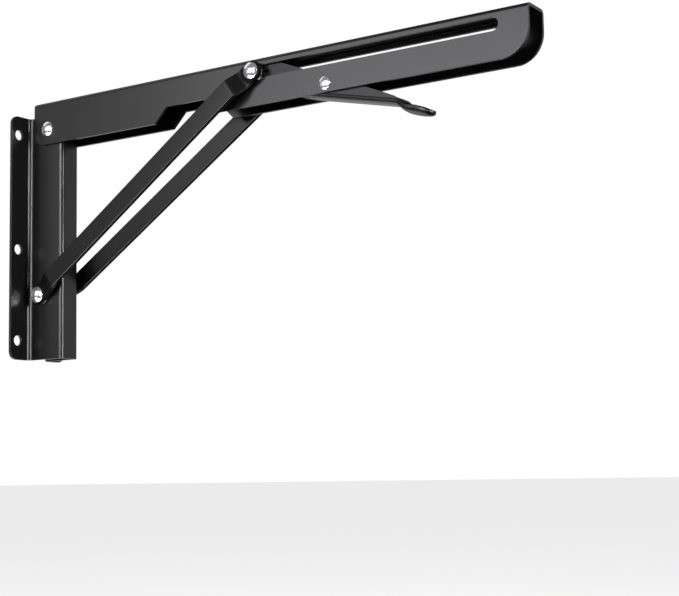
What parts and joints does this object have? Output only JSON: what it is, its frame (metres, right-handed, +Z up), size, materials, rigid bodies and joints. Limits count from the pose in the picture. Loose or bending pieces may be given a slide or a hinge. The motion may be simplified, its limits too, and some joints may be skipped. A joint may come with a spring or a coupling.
{
  "type": "folding shelf bracket",
  "caption": "Folding shelf bracket: hat-section wall plate, channel arm that folds down, joggled braces that slide in slots, and a sprung release lever.",
  "frame": {"origin": "on the wall face of the plate, midway between the four corner screw holes", "axes": "+X out of the wall along the open arm, +Z up, -Y to the left seen from the free end's right side, so that the near side in the picture is -Y"},
  "size_m": [0.406, 0.054, 0.1875],
  "materials": {
    "black_coat": "satin black powder coat on folded steel sheet",
    "rivet_steel": "bright zinc-plated steel",
    "sleeve_steel": "plain zinc-plated steel",
    "spring_steel": "drawn spring wire",
    "washer_plastic": "natural nylon"
  },
  "bodies": {
    "plate": {"wall_plate": "black_coat", "arm_pivot_sleeve": "sleeve_steel", "foot_sleeve": "sleeve_steel", "foot_washer_left": "washer_plastic", "foot_washer_right": "washer_plastic"},
    "arm": {"arm": "black_coat", "arm_pivot_rivet": "rivet_steel", "lever_rivet": "rivet_steel", "lever_bush": "sleeve_steel", "lever_spring": "spring_steel"},
    "lever": {"release_lever": "black_coat"},
    "braces": {"brace_left": "black_coat", "brace_right": "black_coat", "foot_rivet": "rivet_steel", "head_rivet_left": "rivet_steel", "head_rivet_right": "rivet_steel"},
    "sliders": {"slider_left": "rivet_steel", "slider_right": "rivet_steel"}
  },
  "joints": [
    {"name": "arm_fold", "type": "hinge", "parent": "plate", "child": "arm", "pos_m": [0.0212, 0, 0.0785], "axis": [0, 1, 0], "range_deg": [0, 89.5]},
    {"name": "brace_swing", "type": "hinge", "parent": "plate", "child": "braces", "pos_m": [0.0133, 0, -0.0423], "axis": [0, 1, 0], "range_deg": [0, 118.75]},
    {"name": "slot_slide", "type": "slide", "parent": "arm", "child": "sliders", "axis": [1, 0, 0], "range_m": [0, 0.16805]},
    {"name": "lever_release", "type": "hinge", "parent": "arm", "child": "lever", "pos_m": [0.2631, 0, 0.07315], "axis": [0, -1, 0], "range_deg": [0, 12], "stiffness_Nm_per_rad": 0.5, "springref_deg": -28.65, "deforming": ["lever_spring"]}
  ],
  "couplings": [
    {"joint": "brace_swing", "follows": "arm_fold", "ratio": 1.3258},
    {"joint": "slot_slide", "follows": "arm_fold", "m_per_rad": 0.10755}
  ]
}
